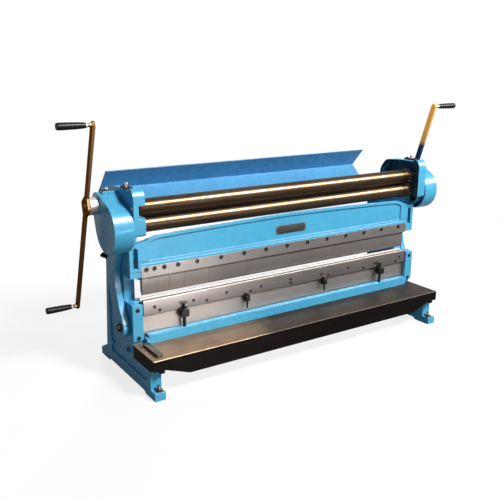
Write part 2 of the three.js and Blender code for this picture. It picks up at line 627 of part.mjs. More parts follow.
function adjustingScrews() {
	const blockTop = upperRollZ + block.high / 2 + fit;
	const rearStart = block.rearLong / 2 + fit;
	for (const side of [-1, 1]) {
		const plateOuter = housingOuterX - cap.edge;
		const plate = box(
			plateOuter - cap.long, rollY - cap.wide / 2, capSeatZ + fit,
			plateOuter, rollY + cap.wide / 2, capSeatZ + fit + cap.thick);
		const hole = alongZ(disc(screwRod + fit, screwPlaneX, rollY), capSeatZ - overrun,
			capSeatZ + cap.thick + overrun, smallSteps);
		piece(`cap_plate_${names[side]}`, mirrored(cut(plate, hole), side), black);
		screwAt(`upper_screw_${names[side]}`, new THREE.Vector3(side * screwPlaneX, rollY, blockTop),
			new THREE.Vector3(0, 0, 1), capSeatZ + cap.screwHigh - blockTop, cap.head, cap.headHigh);
		const rearFrom = new THREE.Vector3(side * screwPlaneX, rearRoll.y, rearRoll.z);
		screwAt(`rear_screw_${names[side]}`, rearFrom.addScaledVector(rearLine, rearStart), rearLine,
			rearScrew.knobStart + rearScrew.knobLong - rearStart, rearScrew.knob, rearScrew.knobLong);
	}
}

// Rolls: the front pair has wire grooves at the right end, and its gears mesh in the right housing's recess
const rollSides = 20;
const groove = { deep: 3, wide: 4, step: 11, first: 8, count: 3 };
const rollGear = { start: 679, long: 20 };
const bullGear = { out: 5, long: 20, shaftPast: 3 };
const gearStart = linkOuter + bullGear.out;
const gearEnd = gearStart + bullGear.long;
const rollRight = innerX - rollEndClear.right;
const rollLeft = rollEndClear.left - innerX;
const shaftEnd = gearEnd + bullGear.shaftPast;

function rollStations(leftEnd, leftRadius, rightEnd, rightRadius) {
	const stations = [[leftEnd, leftRadius], [rollLeft, leftRadius], [rollLeft, rollRadius]];
	for (let i = groove.count - 1; i >= 0; i -= 1) {
		const x = rollRight - groove.first - i * groove.step;
		stations.push(
			[x - groove.wide / 2, rollRadius], [x, rollRadius - groove.deep], [x + groove.wide / 2, rollRadius]);
	}
	stations.push([rollRight, rollRadius], [rollRight, rightRadius], [rightEnd, rightRadius]);
	return stations;
}

function rolls() {
	const blockOuter = slotOuterX - fit;
	const lower = rollStations(-shaftEnd, neckRadius, shaftEnd, neckRadius);
	const upper = rollStations(-blockOuter, upperNeckRadius, blockOuter, upperNeckRadius);
	const rear = [
		[-blockOuter, rearRoll.neck], [rollLeft, rearRoll.neck], [rollLeft, rollRadius], [rollRight, rollRadius],
		[rollRight, rearRoll.neck], [blockOuter, rearRoll.neck],
	];
	piece('lower_roll', turned(lower, rollY, lowerRollZ, rollSides), polished);
	piece('upper_roll', turned(upper, rollY, upperRollZ, rollSides), polished);
	piece('rear_roll', turned(rear, rearRoll.y, rearRoll.z, rollSides), polished);
	const up = Math.PI / 2;
	rollGearPiece('lower_roll_gear', up, lowerRollZ, neckRadius);
	rollGearPiece('upper_roll_gear', Math.PI / rollGearTeeth - up, upperRollZ, upperNeckRadius);
}

function rollGearPiece(name, phase, z, neck) {
	const end = rollGear.start + rollGear.long;
	const teeth = gearOutline(rollGearTeeth, rollGearModule, rollGearBacklash, phase, rollY, z);
	const bore = axle(neck + fit, rollY, z, rollGear.start - overrun, end + overrun);
	piece(name, cut(alongX(teeth, rollGear.start, end), bore), machined);
}

function bearings() {
	const [inside, outside] = [wallX + block.side, slotOuterX - fit];
	const half = { wide: block.wide / 2, high: block.high / 2, long: block.rearLong / 2 };
	for (const side of [-1, 1]) {
		const bored = (body, radius, y, z) =>
			mirrored(cut(body, axle(radius + fit, y, z, inside - overrun, outside + overrun)), side);
		const upper = alongX(
			rect(rollY - half.wide, upperRollZ - half.high, rollY + half.wide, upperRollZ + half.high), inside, outside);
		piece(`upper_block_${names[side]}`, bored(upper, upperNeckRadius, rollY, upperRollZ), bronze);
		const rear = alongX(rearRect(-half.long, half.long, block.rearWide / 2), inside, outside);
		piece(`rear_block_${names[side]}`, bored(rear, rearRoll.neck, rearRoll.y, rearRoll.z), bronze);
	}
}

// Bull gears with their eccentrics, and the crank pinions in mesh with them
const eccentricRadius = 27;
const eccentricSide = 1; // from the link's inner face back to the eccentric's end

function bullGears() {
	const outline = gearOutline(bullTeeth, gearModule, backlash, gearAngle, rollY, lowerRollZ);
	const eccentric = axle(eccentricRadius, rollY, lowerRollZ - eccentricThrow,
		linkInner + eccentricSide, gearStart + fit);
	const bore = axle(neckRadius + fit, rollY, lowerRollZ, linkInner - overrun, shaftEnd + overrun);
	for (const side of [-1, 1]) {
		const wheel = alongX(outline, gearStart, gearEnd);
		piece(`bull_gear_${names[side]}`, mirrored(cut(joined(wheel, eccentric), bore), side), machined);
	}
}

// Links outside the side frames, bowed to the back, from the eccentric's strap to the ram's pin
const link = {
	strapOuter: 61, bossRadius: 38, frontLow: [196, 235], frontBow: [318, 404], frontTop: [219, 509],
	rearTop: [262, 590], rearBow: [395, 437], rearLow: [270, 225], strapFront: [172, 560],
};
const strapBore = eccentricRadius + eccentricThrow + Math.hypot(eccentricThrow, linkRock) + fit;

function links() {
	const strapZ = lowerRollZ - eccentricThrow;
	const arm = new THREE.Shape();
	arm.moveTo(...link.frontLow);
	arm.lineTo(pinY, pinZ);
	arm.lineTo(...link.rearLow);
	arm.quadraticCurveTo(...link.rearBow, ...link.rearTop);
	arm.lineTo(...link.strapFront);
	arm.lineTo(...link.frontTop);
	arm.quadraticCurveTo(...link.frontBow, ...link.frontLow);
	for (const side of [-1, 1]) {
		const body = cut(
			joined(
				alongX(arm, linkInner, linkOuter, smallSteps),
				axle(link.strapOuter, rollY, strapZ, linkInner, linkOuter),
				axle(link.bossRadius, pinY, pinZ, linkInner, linkOuter)),
			axle(strapBore, rollY, strapZ, linkInner - overrun, linkOuter + overrun),
			axle(pinRadius + fit, pinY, pinZ, linkInner - overrun, linkOuter + overrun));
		piece(`link_${names[side]}`, mirrored(body, side), paint);
	}
	const washerStart = linkOuter + fit;
	const washerEnd = washerStart + pinHead.washerThick;
	for (const side of [-1, 1]) {
		const pin = joined(
			axle(pinRadius, pinY, pinZ, innerX - ram.bossLong, washerEnd),
			axle(pinHead.washer, pinY, pinZ, washerStart, washerEnd),
			alongX(disc(pinHead.hexagon, pinY, pinZ), washerEnd - fit, washerEnd + pinHead.thick, hexSteps));
		piece(`link_pin_${names[side]}`, mirrored(pin, side), machined);
	}
}

// Gear covers: deep cast shells round the gears, open towards the machine and below for the link
const coverSteps = 9;
const cover = {
	big: 92, small: 48, wall: 5, face: 6, room: 16, padHigh: 5, padFront: 26, padBack: 13, padLong: 44,
	padOut: 16, lidInset: 2, lidHigh: 4, linkSide: 2,
};
const coverOuter = shaftEnd + cover.room + cover.face;

function gearCover(side) {
	const c = cover;
	const start = housingOuterX + fit;
	const outline = (inset) => belt(rollY, lowerRollZ, c.big - inset, crankY, crankZ, c.small - inset);
	const shell = alongX(outline(0), start, coverOuter, coverSteps);
	const inside = alongX(outline(c.wall), start - overrun, coverOuter - c.face, coverSteps);
	const padStart = housingOuterX + c.padOut;
	const padTop = crankZ + c.small + c.padHigh;
	const pad = box(
		padStart, crankY - c.padFront, crankZ + c.small - c.wall,
		padStart + c.padLong, crankY + c.padBack, padTop);
	const lid = box(
		padStart + c.lidInset, crankY - c.padFront + c.lidInset, crankZ + c.small,
		padStart + c.padLong - c.lidInset, crankY + c.padBack - c.lidInset, padTop + c.lidHigh);
	const linkWay = box(
		start - overrun, rollY - eccentricRadius - c.wall, lowerRollZ - c.big - overrun,
		linkOuter + c.linkSide, rollY + 2 * c.big, lowerRollZ - eccentricRadius);
	const half = cut(
		joined(shell, pad, lid), inside, linkWay,
		axle(crankShaftRadius + fit, crankY, crankZ, coverOuter - c.face - overrun, coverOuter + overrun));
	piece(`gear_cover_${names[side]}`, mirrored(half, side), paint);
}

// Cranks: a pinion shaft at each end, a double bar on the left and a single arm on the right
const crank = {
	shaftIn: 3, thick: 10, wide: 24, leftOut: 34, rightOut: 4, upLong: 316, downLong: 453, rightLong: 321,
	leftTilt: THREE.MathUtils.degToRad(21.1), rightTilt: THREE.MathUtils.degToRad(17.5), hubHigh: 38, hubWide: 33,
	collar: 33, capRadius: 16, capThick: 4, collarChamfer: 3,
};
const [leftPlane, rightPlane] = [coverOuter + crank.leftOut, coverOuter + crank.rightOut];
const grip = {
	start: 21, left: 98, right: 110, neck: 9.5, belly: 12.8, spindle: 6, seat: 9, seatThick: 7,
};

const gripSides = 12;
const gripShares = [[0.12, 0.84], [0.5, 0.96], [0.93, 1], [1, 0.84]]; // share of the length, share of the belly

function pinionShaft(side, plane) {
	const far = plane + crank.thick;
	const phase = gearAngle + Math.PI + Math.PI / pinionTeeth;
	const body = joined(
		axle(crankShaftRadius, crankY, crankZ, wallX + crank.shaftIn, far + fit),
		alongX(gearOutline(pinionTeeth, gearModule, backlash, phase, crankY, crankZ),
			gearStart, gearEnd),
		axle(crank.capRadius, crankY, crankZ, far + fit, far + crank.capThick));
	piece(`crank_shaft_${names[side]}`, mirrored(body, side), polished);
}

function armOutline(up, down, tilt) {
	const lean = (a, b) => [
		crankY + a * Math.cos(tilt) - b * Math.sin(tilt), crankZ + a * Math.sin(tilt) + b * Math.cos(tilt),
	];
	const half = crank.wide / 2;
	const [h, w] = [crank.hubHigh, crank.hubWide];
	const foot = down > 0
		? [[-half, -h], [-half, -down], [-half / 2, -down - half], [half / 2, -down - half], [half, -down],
			[half, -h]]
		: [[-half, -h], [half, -h]];
	return poly([
		[-half, up], [-half, h], [-w, half / 2], [-w, -half / 2], ...foot, [w, -half / 2], [w, half / 2], [half, h],
		[half, up], [half / 2, up + half], [-half / 2, up + half],
	].map(([a, b]) => lean(a, b)));
}

function armEnd(distance, tilt) {
	return [crankY - distance * Math.sin(tilt), crankZ + distance * Math.cos(tilt)];
}

// A flat bar with the spindles of its grips riveted in
function arm(name, side, plane, long, up, down, tilt) {
	const ends = [up, -down].filter((distance) => distance !== 0).map((distance) => armEnd(distance, tilt));
	const face = plane + crank.thick;
	const spindles = ends.flatMap((end) => [
		alongX(disc(grip.seat, ...end), face - fit, face + grip.seatThick, hexSteps),
		axle(grip.spindle, ...end, face - fit, face + grip.start + long - grip.seat, smallSteps),
	]);
	const bar = alongX(armOutline(up, down, tilt), plane, face);
	const bore = axle(crankShaftRadius + fit, crankY, crankZ, plane - overrun, face + overrun);
	piece(name, mirrored(cut(joined(bar, ...spindles), bore), side), polished);
}

function handleGrip(name, side, y, z, plane, long) {
	const start = plane + crank.thick + grip.start;
	const body = turned([
		[start, grip.neck], ...gripShares.map(([along, width]) => [start + long * along, grip.belly * width]),
	], y, z, gripSides);
	const bore = axle(grip.spindle + fit, y, z, start - overrun, start + long - grip.seat + fit, smallSteps);
	piece(name, mirrored(cut(body, bore), side), rubber);
}

function cranks() {
	const c = crank;
	pinionShaft(-1, leftPlane);
	pinionShaft(1, rightPlane);
	const collarIn = coverOuter + fit;
	const collar = cut(
		turned([[collarIn, c.collar - c.collarChamfer], [collarIn + c.collarChamfer, c.collar],
			[leftPlane - fit - c.collarChamfer, c.collar], [leftPlane - fit, c.collar - c.collarChamfer]],
		crankY, crankZ, 2 * roundSteps),
		axle(crankShaftRadius + fit, crankY, crankZ, collarIn - overrun, leftPlane + overrun));
	piece('crank_collar_left', mirrored(collar, -1), polished);
	arm('crank_bar_left', -1, leftPlane, grip.left, c.upLong, c.downLong, c.leftTilt);
	arm('crank_arm_right', 1, rightPlane, grip.right, c.rightLong, 0, c.rightTilt);
	const top = armEnd(c.upLong, c.leftTilt);
	const bottom = armEnd(-c.downLong, c.leftTilt);
	const right = armEnd(c.rightLong, c.rightTilt);
	handleGrip('grip_top_left', -1, ...top, leftPlane, grip.left);
	handleGrip('grip_bottom_left', -1, ...bottom, leftPlane, grip.left);
	handleGrip('grip_right', 1, ...right, rightPlane, grip.right);
}

// Back tray: one folded sheet behind the rolls, with a tab at each end on the back of the side frame
const tray = {
	sheet: 2.5, lipLow: 500, lipHigh: 552, vertexY: 567, vertexZ: 681, topY: 492, topZ: 761, side: 5, tabIn: 14,
	tabLong: 60,
};

function backTray() {
	const t = tray;
	const lipY = frame.backY + fit;
	const s = t.sheet;
	const [half, tabEnd] = [innerX - t.side, outerX - t.tabIn];
	const section = poly([
		[lipY, t.lipHigh], [lipY + s, t.lipHigh], [t.vertexY + s, t.vertexZ],
		[t.topY + s, t.topZ + s], [t.topY, t.topZ], [t.vertexY - s, t.vertexZ], [lipY, t.lipHigh + s],
	]);
	const body = joined(
		alongX(section, -half, half),
		...[-1, 1].map((side) =>
			alongX(rect(lipY, t.lipLow, lipY + s, t.lipHigh + s), side * (tabEnd - t.tabLong), side * tabEnd)));
	piece('back_tray', body, paint);
}

// Tie rod between the side frames
function tieRod() {
	piece('tie_rod', axle(tie.radius, tie.y, tie.z, fit - innerX, innerX - fit), paint);
}

for (const side of [-1, 1]) {
	sideFrame(side);
	rollHousing(side);
	gearCover(side);
}
ramBody();
bendDie();
blades();
workTable();
squaringGuide();
holdDown();
fingerBeam();
fingers();
keepers();
adjustingScrews();
rolls();
bearings();
bullGears();
links();
cranks();
backTray();
tieRod();

// The origin: the middle of the part's box, on the floor
const extent = new THREE.Box3().setFromObject(machine);
machine.position.set(-(extent.min.x + extent.max.x) / 2, -(extent.min.y + extent.max.y) / 2, -extent.min.z);
const group = new THREE.Group();
group.add(machine);

export default group;
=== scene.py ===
"""The looks of a three in one sheet metal machine: slip rolls, finger brake and table shear.

Lengths below are millimetres in the machine's own frame (x from the middle, y from the front of the feet,
z from the floor), and at() turns them into the row frame in metres.
"""

import json
import math

import bmesh
import bpy
from mathutils import Matrix, Vector

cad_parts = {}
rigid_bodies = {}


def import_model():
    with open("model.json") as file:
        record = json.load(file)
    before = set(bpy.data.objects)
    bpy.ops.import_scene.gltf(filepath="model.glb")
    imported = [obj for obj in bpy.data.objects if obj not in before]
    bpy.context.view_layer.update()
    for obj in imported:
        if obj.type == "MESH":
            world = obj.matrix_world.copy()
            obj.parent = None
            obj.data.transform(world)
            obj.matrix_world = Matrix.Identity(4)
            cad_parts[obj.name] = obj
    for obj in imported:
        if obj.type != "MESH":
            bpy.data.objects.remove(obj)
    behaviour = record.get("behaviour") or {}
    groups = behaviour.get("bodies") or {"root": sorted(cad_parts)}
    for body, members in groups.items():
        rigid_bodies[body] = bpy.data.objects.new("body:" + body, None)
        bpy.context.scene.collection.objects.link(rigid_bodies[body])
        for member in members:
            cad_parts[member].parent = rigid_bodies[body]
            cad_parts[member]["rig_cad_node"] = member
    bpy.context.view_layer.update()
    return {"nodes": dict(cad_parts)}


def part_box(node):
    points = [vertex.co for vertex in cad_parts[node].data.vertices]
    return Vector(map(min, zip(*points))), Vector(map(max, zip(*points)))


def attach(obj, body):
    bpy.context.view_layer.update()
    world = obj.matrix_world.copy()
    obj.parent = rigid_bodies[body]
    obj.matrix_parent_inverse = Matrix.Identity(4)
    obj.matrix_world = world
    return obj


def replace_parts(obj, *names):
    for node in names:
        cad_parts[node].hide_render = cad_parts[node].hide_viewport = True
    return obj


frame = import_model()
nodes = frame["nodes"]
for other in list(bpy.data.objects):
    if "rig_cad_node" not in other and not other.name.startswith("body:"):
        bpy.data.objects.remove(other)

MM = 0.001
left_frame, right_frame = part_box("side_frame_left"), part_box("side_frame_right")
ORIGIN = Vector(((left_frame[0].x + right_frame[1].x) / 2, left_frame[0].y, 0))


def at(x, y, z):
    return Vector((x, y, z)) * MM + ORIGIN


def scaled(colour, share, lift=0.0):
    return tuple(share * c + lift for c in colour)


# Materials

PAINTED_RECESS_SHADE = (0.006, 0.009, 0.012)
PAINTED_DARK_BLUE = (0.022, 0.034, 0.085)
TABLE_GRIME = (0.03, 0.025, 0.02)
TABLE_EDGE = (0.32, 0.27, 0.22)
OIL_TINT = (0.35, 0.22, 0.10, 1.0)
BLACKENED = (0.012, 0.011, 0.011)
ALONG_X = (1.0, 90.0, 90.0)  # draws noise out into lines along the machine's width
SHADOW_BAND = 0.012  # height in metres of the painted shadow that hangs below a seam


class Shader:
    """A Principled material that is built from a few named steps."""

    def __init__(self, name, metallic=0.0, roughness=0.4):
        self.material = bpy.data.materials.new(name)
        self.material.use_nodes = True
        self.tree = self.material.node_tree
        self.bsdf = self.tree.nodes["Principled BSDF"]
        self.bsdf.inputs["Metallic"].default_value = metallic
        self.bsdf.inputs["Roughness"].default_value = roughness
        self.coords = self.tree.nodes.new("ShaderNodeTexCoord").outputs["Object"]
        self.rounded = None

    def node(self, kind, **settings):
        made = self.tree.nodes.new(kind)
        for key, value in settings.items():
            setattr(made, key, value)
        return made

    def feed(self, socket, value):
        if isinstance(value, bpy.types.NodeSocket):
            self.tree.links.new(value, socket)
        else:
            socket.default_value = value

    def stretched(self, scale):
        mapping = self.node("ShaderNodeMapping")
        self.feed(mapping.inputs["Vector"], self.coords)
        mapping.inputs["Scale"].default_value = scale
        return mapping.outputs["Vector"]

    def noise(self, scale, detail=4.0, stretch=None):
        made = self.node("ShaderNodeTexNoise")
        self.feed(made.inputs["Vector"], self.stretched(stretch) if stretch else self.coords)
        made.inputs["Scale"].default_value = scale
        made.inputs["Detail"].default_value = detail
        return made.outputs["Fac"]

    def ramp(self, value, low, high, out_low=0.0, out_high=1.0):
        made = self.node("ShaderNodeMapRange")
        for key, number in (("From Min", low), ("From Max", high), ("To Min", out_low), ("To Max", out_high)):
            made.inputs[key].default_value = number
        self.feed(made.inputs["Value"], value)
        return made.outputs["Result"]

    def mix(self, share, first, second):
        made = self.node("ShaderNodeMix", data_type="RGBA")
        self.feed(made.inputs[0], share)
        for socket, value in ((made.inputs[6], first), (made.inputs[7], second)):
            self.feed(socket, value if isinstance(value, bpy.types.NodeSocket) else (*value, 1.0))
        return made.outputs[2]

    def combine(self, operation, *values):
        made = self.node("ShaderNodeMath", operation=operation)
        for socket, value in zip(made.inputs, values):
            self.feed(socket, value)
        return made.outputs[0]

    def axis(self, letter):
        made = self.node("ShaderNodeSeparateXYZ")
        self.feed(made.inputs[0], self.coords)
        return made.outputs[letter]

    def colour(self, value):
        self.feed(self.bsdf.inputs["Base Color"], value)

    def rough(self, value):
        self.feed(self.bsdf.inputs["Roughness"], value)

    def lightened(self, radius, amount=1.0):
        """A broken mask on the edges, from the rounded normal that also softens them."""
        made = self.node("ShaderNodeBevel", samples=4)
        made.inputs["Radius"].default_value = radius * MM
        self.rounded = made.outputs["Normal"]
        facing = self.node("ShaderNodeVectorMath", operation="DOT_PRODUCT")
        self.feed(facing.inputs[0], self.rounded)
        self.feed(facing.inputs[1], self.node("ShaderNodeNewGeometry").outputs["Normal"])
        edge = self.ramp(facing.outputs["Value"], 0.78, 0.97, amount, 0.0)
        return self.combine("MULTIPLY", edge, self.ramp(self.noise(75.0, 5.0), 0.35, 0.6))

    def bump(self, height, strength, distance):
        made = self.node("ShaderNodeBump")
        if self.rounded:
            self.feed(made.inputs["Normal"], self.rounded)
        made.inputs["Strength"].default_value = strength
        made.inputs["Distance"].default_value = distance
        self.feed(made.inputs["Height"], height)
        self.feed(self.bsdf.inputs["Normal"], made.outputs["Normal"])


def enamel(name, colour, shade, cast=0.0, shade_recesses=False):
    """Brushed or sprayed gloss enamel over a casting, with runs, dust and an uneven gloss.

    On the housings, painted shade darkens the faces that look at the machine's middle, in patches.
    """
    s = Shader(name, roughness=0.3)
    broad = s.ramp(s.noise(5.0), 0.35, 0.65)
    base = s.mix(broad, shade, colour)
    specks = s.ramp(s.noise(320.0, 2.0), 0.74, 0.80, 0.0, 0.6)
    grime = s.ramp(s.noise(14.0, 8.0), 0.62, 0.85, 0.0, 0.22)
    base = s.mix(grime, base, scaled(shade, 0.55))
    base = s.mix(specks, base, scaled(shade, 0.4))
    if shade_recesses:
        # Painted shade: inward-facing faces far from the middle turn nearly black in patches, in place of the
        # shade in the housings' recesses.
        across = s.node("ShaderNodeSeparateXYZ")
        s.feed(across.inputs[0], s.node("ShaderNodeNewGeometry").outputs["True Normal"])
        inside = s.combine("LESS_THAN", s.combine("MULTIPLY", across.outputs["X"], s.axis("X")), -0.4)
        inward_shade = s.combine("MULTIPLY", inside, s.ramp(s.noise(9.0, 6.0), 0.25, 0.5, 0.7, 0.95))
        base = s.mix(inward_shade, base, PAINTED_RECESS_SHADE)
    # Painted highlight: the rounded edges of the enamel are mixed to a paler blue.
    s.colour(s.mix(s.lightened(3.5, 0.75), base, scaled(colour, 0.5, 0.38)))
    s.rough(s.ramp(s.noise(40.0, 5.0), 0.3, 0.7, 0.22, 0.36))
    peel = s.combine("MULTIPLY", s.noise(700.0, 2.0), 0.25)
    lumps = s.combine("MULTIPLY", s.noise(55.0, 5.0), cast)
    s.bump(s.combine("ADD", peel, lumps), 0.35, 0.0006)
    s.bsdf.inputs["Specular IOR Level"].default_value = 0.14
    return s.material


def ground_steel(name, colour, stain_and_shadow, rough=(0.28, 0.46), along=ALONG_X, seams=(), metallic=0.85,
                 painted_dark_below=None):
    """Surface ground steel: fine lines along the piece, clouding and oil stains.

    Below each height in seams a painted shadow band darkens the steel. Below a given height the steel is
    painted dark blue: a painted reflection of blue paint on the crank arm, painted shade on the screw in the
    housing.
    """
    s = Shader(name, metallic=metallic)
    lines = s.noise(14.0, 6.0, along)
    clouds = s.ramp(s.noise(7.0, 3.0), 0.35, 0.7)
    base = s.mix(clouds, colour, scaled(colour, 0.86))
    base = s.mix(s.ramp(lines, 0.3, 0.7, 0.0, 0.25), base, scaled(colour, 0.7))
    spots = s.ramp(s.noise(60.0, 6.0), 0.66, 0.78, 0.0, 0.5)
    base = s.mix(spots, base, stain_and_shadow)
    # Painted shadow: a band darker than the steel hangs below each seam.
    for seam in seams:
        band = s.combine("MULTIPLY", s.ramp(s.noise(30.0), 0.3, 0.7, 0.7, 1.0), SHADOW_BAND)
        below = s.combine("SUBTRACT", seam, s.axis("Z"))
        started = s.ramp(below, 0.0, 0.0003)
        fading = s.ramp(s.combine("DIVIDE", below, band), 0.5, 1.0, 1.0, 0.0)
        inside = s.combine("MULTIPLY", started, fading)
        base = s.mix(s.combine("MULTIPLY", inside, 0.9), base, scaled(stain_and_shadow, 0.35))
    # Painted reflection and painted shade: the steel below the given height turns dark blue.
    if painted_dark_below:
        base = s.mix(s.ramp(s.axis("Z"), painted_dark_below - 0.012, painted_dark_below + 0.008), PAINTED_DARK_BLUE, base)
    s.colour(s.mix(s.lightened(0.8, 0.7), base, scaled(colour, 1.9, 0.05)))
    s.rough(s.ramp(lines, 0.25, 0.75, *rough))
    s.bump(lines, 0.12, 0.0002)
    return s.material


def roll_steel(name, colour, brown):
    """Polished rolls: rings left by turning and grinding, tinted by old oil."""
    s = Shader(name, metallic=1.0)
    rings = s.noise(12.0, 4.0, (30.0, 0.3, 0.3))
    film = s.ramp(s.noise(6.0, 4.0, (0.6, 3.0, 3.0)), 0.35, 0.65)
    base = s.mix(film, colour, brown)
    s.colour(s.mix(s.ramp(rings, 0.35, 0.7, 0.0, 0.25), base, scaled(brown, 0.6)))
    s.rough(s.ramp(rings, 0.25, 0.75, 0.41, 0.48))
    s.bsdf.inputs["Anisotropic"].default_value = 0.85
    s.bsdf.inputs["Anisotropic Rotation"].default_value = 0.25
    tangent = s.node("ShaderNodeTangent", direction_type="RADIAL", axis="X")
    s.feed(s.bsdf.inputs["Tangent"], tangent.outputs[0])
    s.bump(rings, 0.02, 0.00002)
    return s.material


def dark_steel(name, colour, rough=0.38, metallic=0.6):
    """Blackened screws and fittings, brighter in patches of wear."""
    s = Shader(name, metallic=metallic)
    lightened = s.combine("MAXIMUM", s.ramp(s.noise(140.0, 4.0), 0.6, 0.8, 0.0, 0.3), s.lightened(0.25, 0.5))
    s.colour(s.mix(lightened, colour, scaled(colour, 3.0, 0.03)))
    s.bsdf.inputs["Specular IOR Level"].default_value = 0.13
    s.rough(s.ramp(s.noise(30.0), 0.3, 0.7, rough - 0.1, rough + 0.12))
    s.bump(s.noise(600.0, 3.0), 0.15, 0.0002)
    return s.material


def table_iron(name, enamel_black, bare, scuffed, top):
    """The table: bare planed iron on top, brown with oil, and black enamel on its sides and ribs."""
    s = Shader(name, metallic=0.0)
    streaks = s.noise(10.0, 7.0, (1.0, 26.0, 26.0))
    # Painted light falloff: the shift along x spreads the dark scuffed patches towards the right end, so the
    # top darkens to the right; the patches themselves are oil.
    toned = s.combine("MULTIPLY_ADD", s.axis("X"), 0.40, 0.17)
    patches = s.ramp(s.combine("ADD", s.noise(2.2, 6.0, (1.0, 0.6, 0.6)), toned), 0.34, 0.60)
    planed = s.mix(patches, bare, scuffed)
    planed = s.mix(s.ramp(streaks, 0.35, 0.7, 0.0, 0.3), planed, scaled(scuffed, 0.62))
    grime = s.ramp(s.noise(90.0, 6.0), 0.66, 0.76, 0.0, 0.7)
    planed = s.mix(grime, planed, TABLE_GRIME)
    dust = s.ramp(s.noise(18.0, 6.0), 0.45, 0.8, 0.0, 0.35)
    painted = s.mix(dust, enamel_black, scaled(enamel_black, 2.2))
    is_top = s.combine("GREATER_THAN", s.axis("Z"), top)
    edge = s.mix(s.lightened(1.0, 1.0), s.mix(is_top, painted, planed), TABLE_EDGE)
    s.colour(edge)
    s.feed(s.bsdf.inputs["Metallic"], s.combine("MULTIPLY", is_top, 0.3))
    s.rough(s.ramp(streaks, 0.3, 0.7, 0.36, 0.5))
    s.bsdf.inputs["Specular IOR Level"].default_value = 0.03
    s.bump(s.noise(120.0, 5.0), 0.12, 0.0004)
    return s.material


def die_steel(name, steel, black, front):
    """The bending die: ground steel, with blackened brackets in front of its face."""
    s = Shader(name, metallic=0.85)
    lines = s.noise(14.0, 6.0, ALONG_X)
    clouds = s.ramp(s.noise(7.0, 3.0), 0.35, 0.7)
    base = s.mix(clouds, steel, scaled(steel, 0.84))
    is_bracket = s.combine("LESS_THAN", s.axis("Y"), front)
    base = s.mix(s.lightened(1.0, 0.7), base, scaled(steel, 1.9, 0.05))
    s.colour(s.mix(is_bracket, base, black))
    s.rough(s.ramp(lines, 0.25, 0.75, 0.32, 0.46))
    s.bump(lines, 0.12, 0.0002)
    return s.material


def moulded(name, colour):
    """Glossy black moulded grips, with faint moulding lines."""
    s = Shader(name)
    s.colour(s.mix(s.ramp(s.noise(60.0), 0.4, 0.7), colour, scaled(colour, 2.2)))
    s.rough(s.ramp(s.noise(40.0, 3.0), 0.3, 0.7, 0.3, 0.4))
    s.bump(s.noise(400.0, 2.0), 0.02, 0.0002)
    s.bsdf.inputs["Specular IOR Level"].default_value = 0.07
    return s.material


BLUE = (0.075, 0.425, 0.69)
BLUE_SHADE = (0.066, 0.385, 0.645)
paint = enamel("blue_enamel", BLUE, BLUE_SHADE, cast=0.5)
# The housings carry painted shade on their inward faces.
housing_paint = enamel("blue_enamel_on_housing", BLUE, BLUE_SHADE, cast=0.5, shade_recesses=True)
# The tray has the same enamel as the rest; its deeper, more violet blue is painted shade of its
# forward-leaning face.
PAINTED_SHADE_TRAY_BLUE = (0.090, 0.335, 0.60)
PAINTED_SHADE_TRAY_DEEP = (0.080, 0.300, 0.56)
tray_painted_shade = enamel("blue_enamel_on_sheet", PAINTED_SHADE_TRAY_BLUE, PAINTED_SHADE_TRAY_DEEP, cast=0.06)
steel = ground_steel("ground_steel", (0.150, 0.138, 0.135), (0.09, 0.068, 0.055))
# The fingers carry a painted shadow below the clamp strip, and the upper blade a painted shadow below the
# die.
finger_steel = ground_steel("finger_steel", (0.155, 0.142, 0.139), (0.08, 0.06, 0.05), rough=(0.36, 0.48),
                            seams=(at(0, 0, 408.5).z,))
blade_steel = ground_steel("blade_steel", (0.205, 0.193, 0.189), (0.11, 0.09, 0.08),
                           seams=(at(0, 0, 264.5).z,))
roll = roll_steel("roll_steel", (0.082, 0.056, 0.038), (0.050, 0.032, 0.019))
bright = ground_steel("bright_steel", (0.46, 0.445, 0.43), (0.3, 0.24, 0.18), along=(60.0, 60.0, 60.0))
bar_steel = ground_steel("crank_bar_steel", (0.115, 0.068, 0.030), (0.03, 0.017, 0.008), rough=(0.40, 0.52),
                         metallic=1.0)
# The crank arm's lower part is painted dark blue: a painted reflection of the blue paint.
arm_steel = ground_steel("crank_arm_steel", (0.60, 0.31, 0.075), (0.20, 0.11, 0.04), rough=(0.3, 0.44),
                         metallic=1.0, painted_dark_below=at(0, 0, 812).z)
for toned in (bar_steel, arm_steel):
    toned.node_tree.nodes["Principled BSDF"].inputs["Specular Tint"].default_value = OIL_TINT
# The screw is painted dark blue below the housing's top: painted shade inside the housing.
screw_steel = ground_steel("screw_steel", (0.30, 0.29, 0.28), (0.2, 0.16, 0.12), along=(60.0, 60.0, 60.0),
                           painted_dark_below=at(0, 0, 745).z)
iron = ground_steel("machined_iron", (0.20, 0.18, 0.165), (0.09, 0.065, 0.05), along=(30.0, 30.0, 30.0))
dark_iron = ground_steel("oiled_iron", (0.040, 0.034, 0.030), (0.02, 0.015, 0.012), along=(30.0, 30.0, 30.0))
black = dark_steel("blackened_steel", BLACKENED, metallic=0.0)
plate = dark_steel("nameplate_metal", (0.032, 0.029, 0.028), rough=0.5, metallic=0.2)
brass = ground_steel("bearing_bronze", (0.30, 0.22, 0.10), (0.10, 0.07, 0.035), along=(40.0, 40.0, 40.0))
table = table_iron("table_iron", (0.004, 0.003, 0.003), (0.29, 0.200, 0.132), (0.035, 0.026, 0.020),
                   at(0, 0, 154.5).z)
die = die_steel("die_steel", (0.102, 0.092, 0.091), BLACKENED, at(0, 171.7, 0).y)
grip = moulded("grip_plastic", (0.005, 0.005, 0.006))

